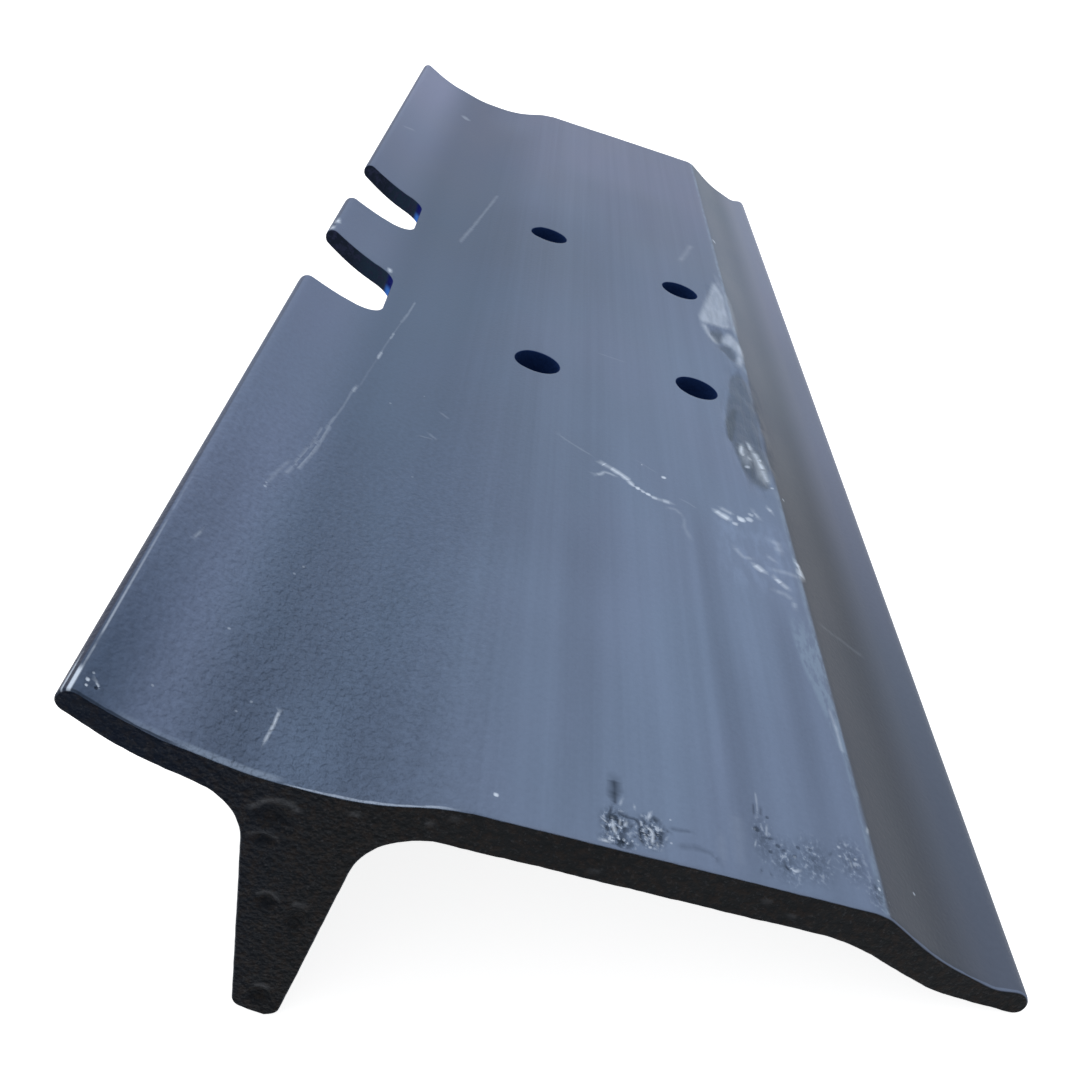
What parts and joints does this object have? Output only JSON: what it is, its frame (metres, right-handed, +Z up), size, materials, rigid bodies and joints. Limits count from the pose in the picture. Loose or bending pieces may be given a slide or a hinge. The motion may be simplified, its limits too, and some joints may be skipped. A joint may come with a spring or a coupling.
{
  "type": "single grouser track shoe",
  "caption": "Rolled steel crawler track shoe with one grouser bar, a notched curled edge, an overlap lip and bolt holes.",
  "frame": {"origin": "middle of the bounding box in plan, on the ground under the resting shoe", "axes": "+X along the shoe's length, +Y from the lip towards the notched curled edge, +Z up as it rests on the grouser's tip and the lip's edge"},
  "size_m": [0.61, 0.206, 0.1039],
  "materials": {
    "painted_steel": "semi-gloss blue-grey paint over rolled steel"
  },
  "bodies": {
    "root": {"track_shoe": "painted_steel"}
  },
  "joints": []
}
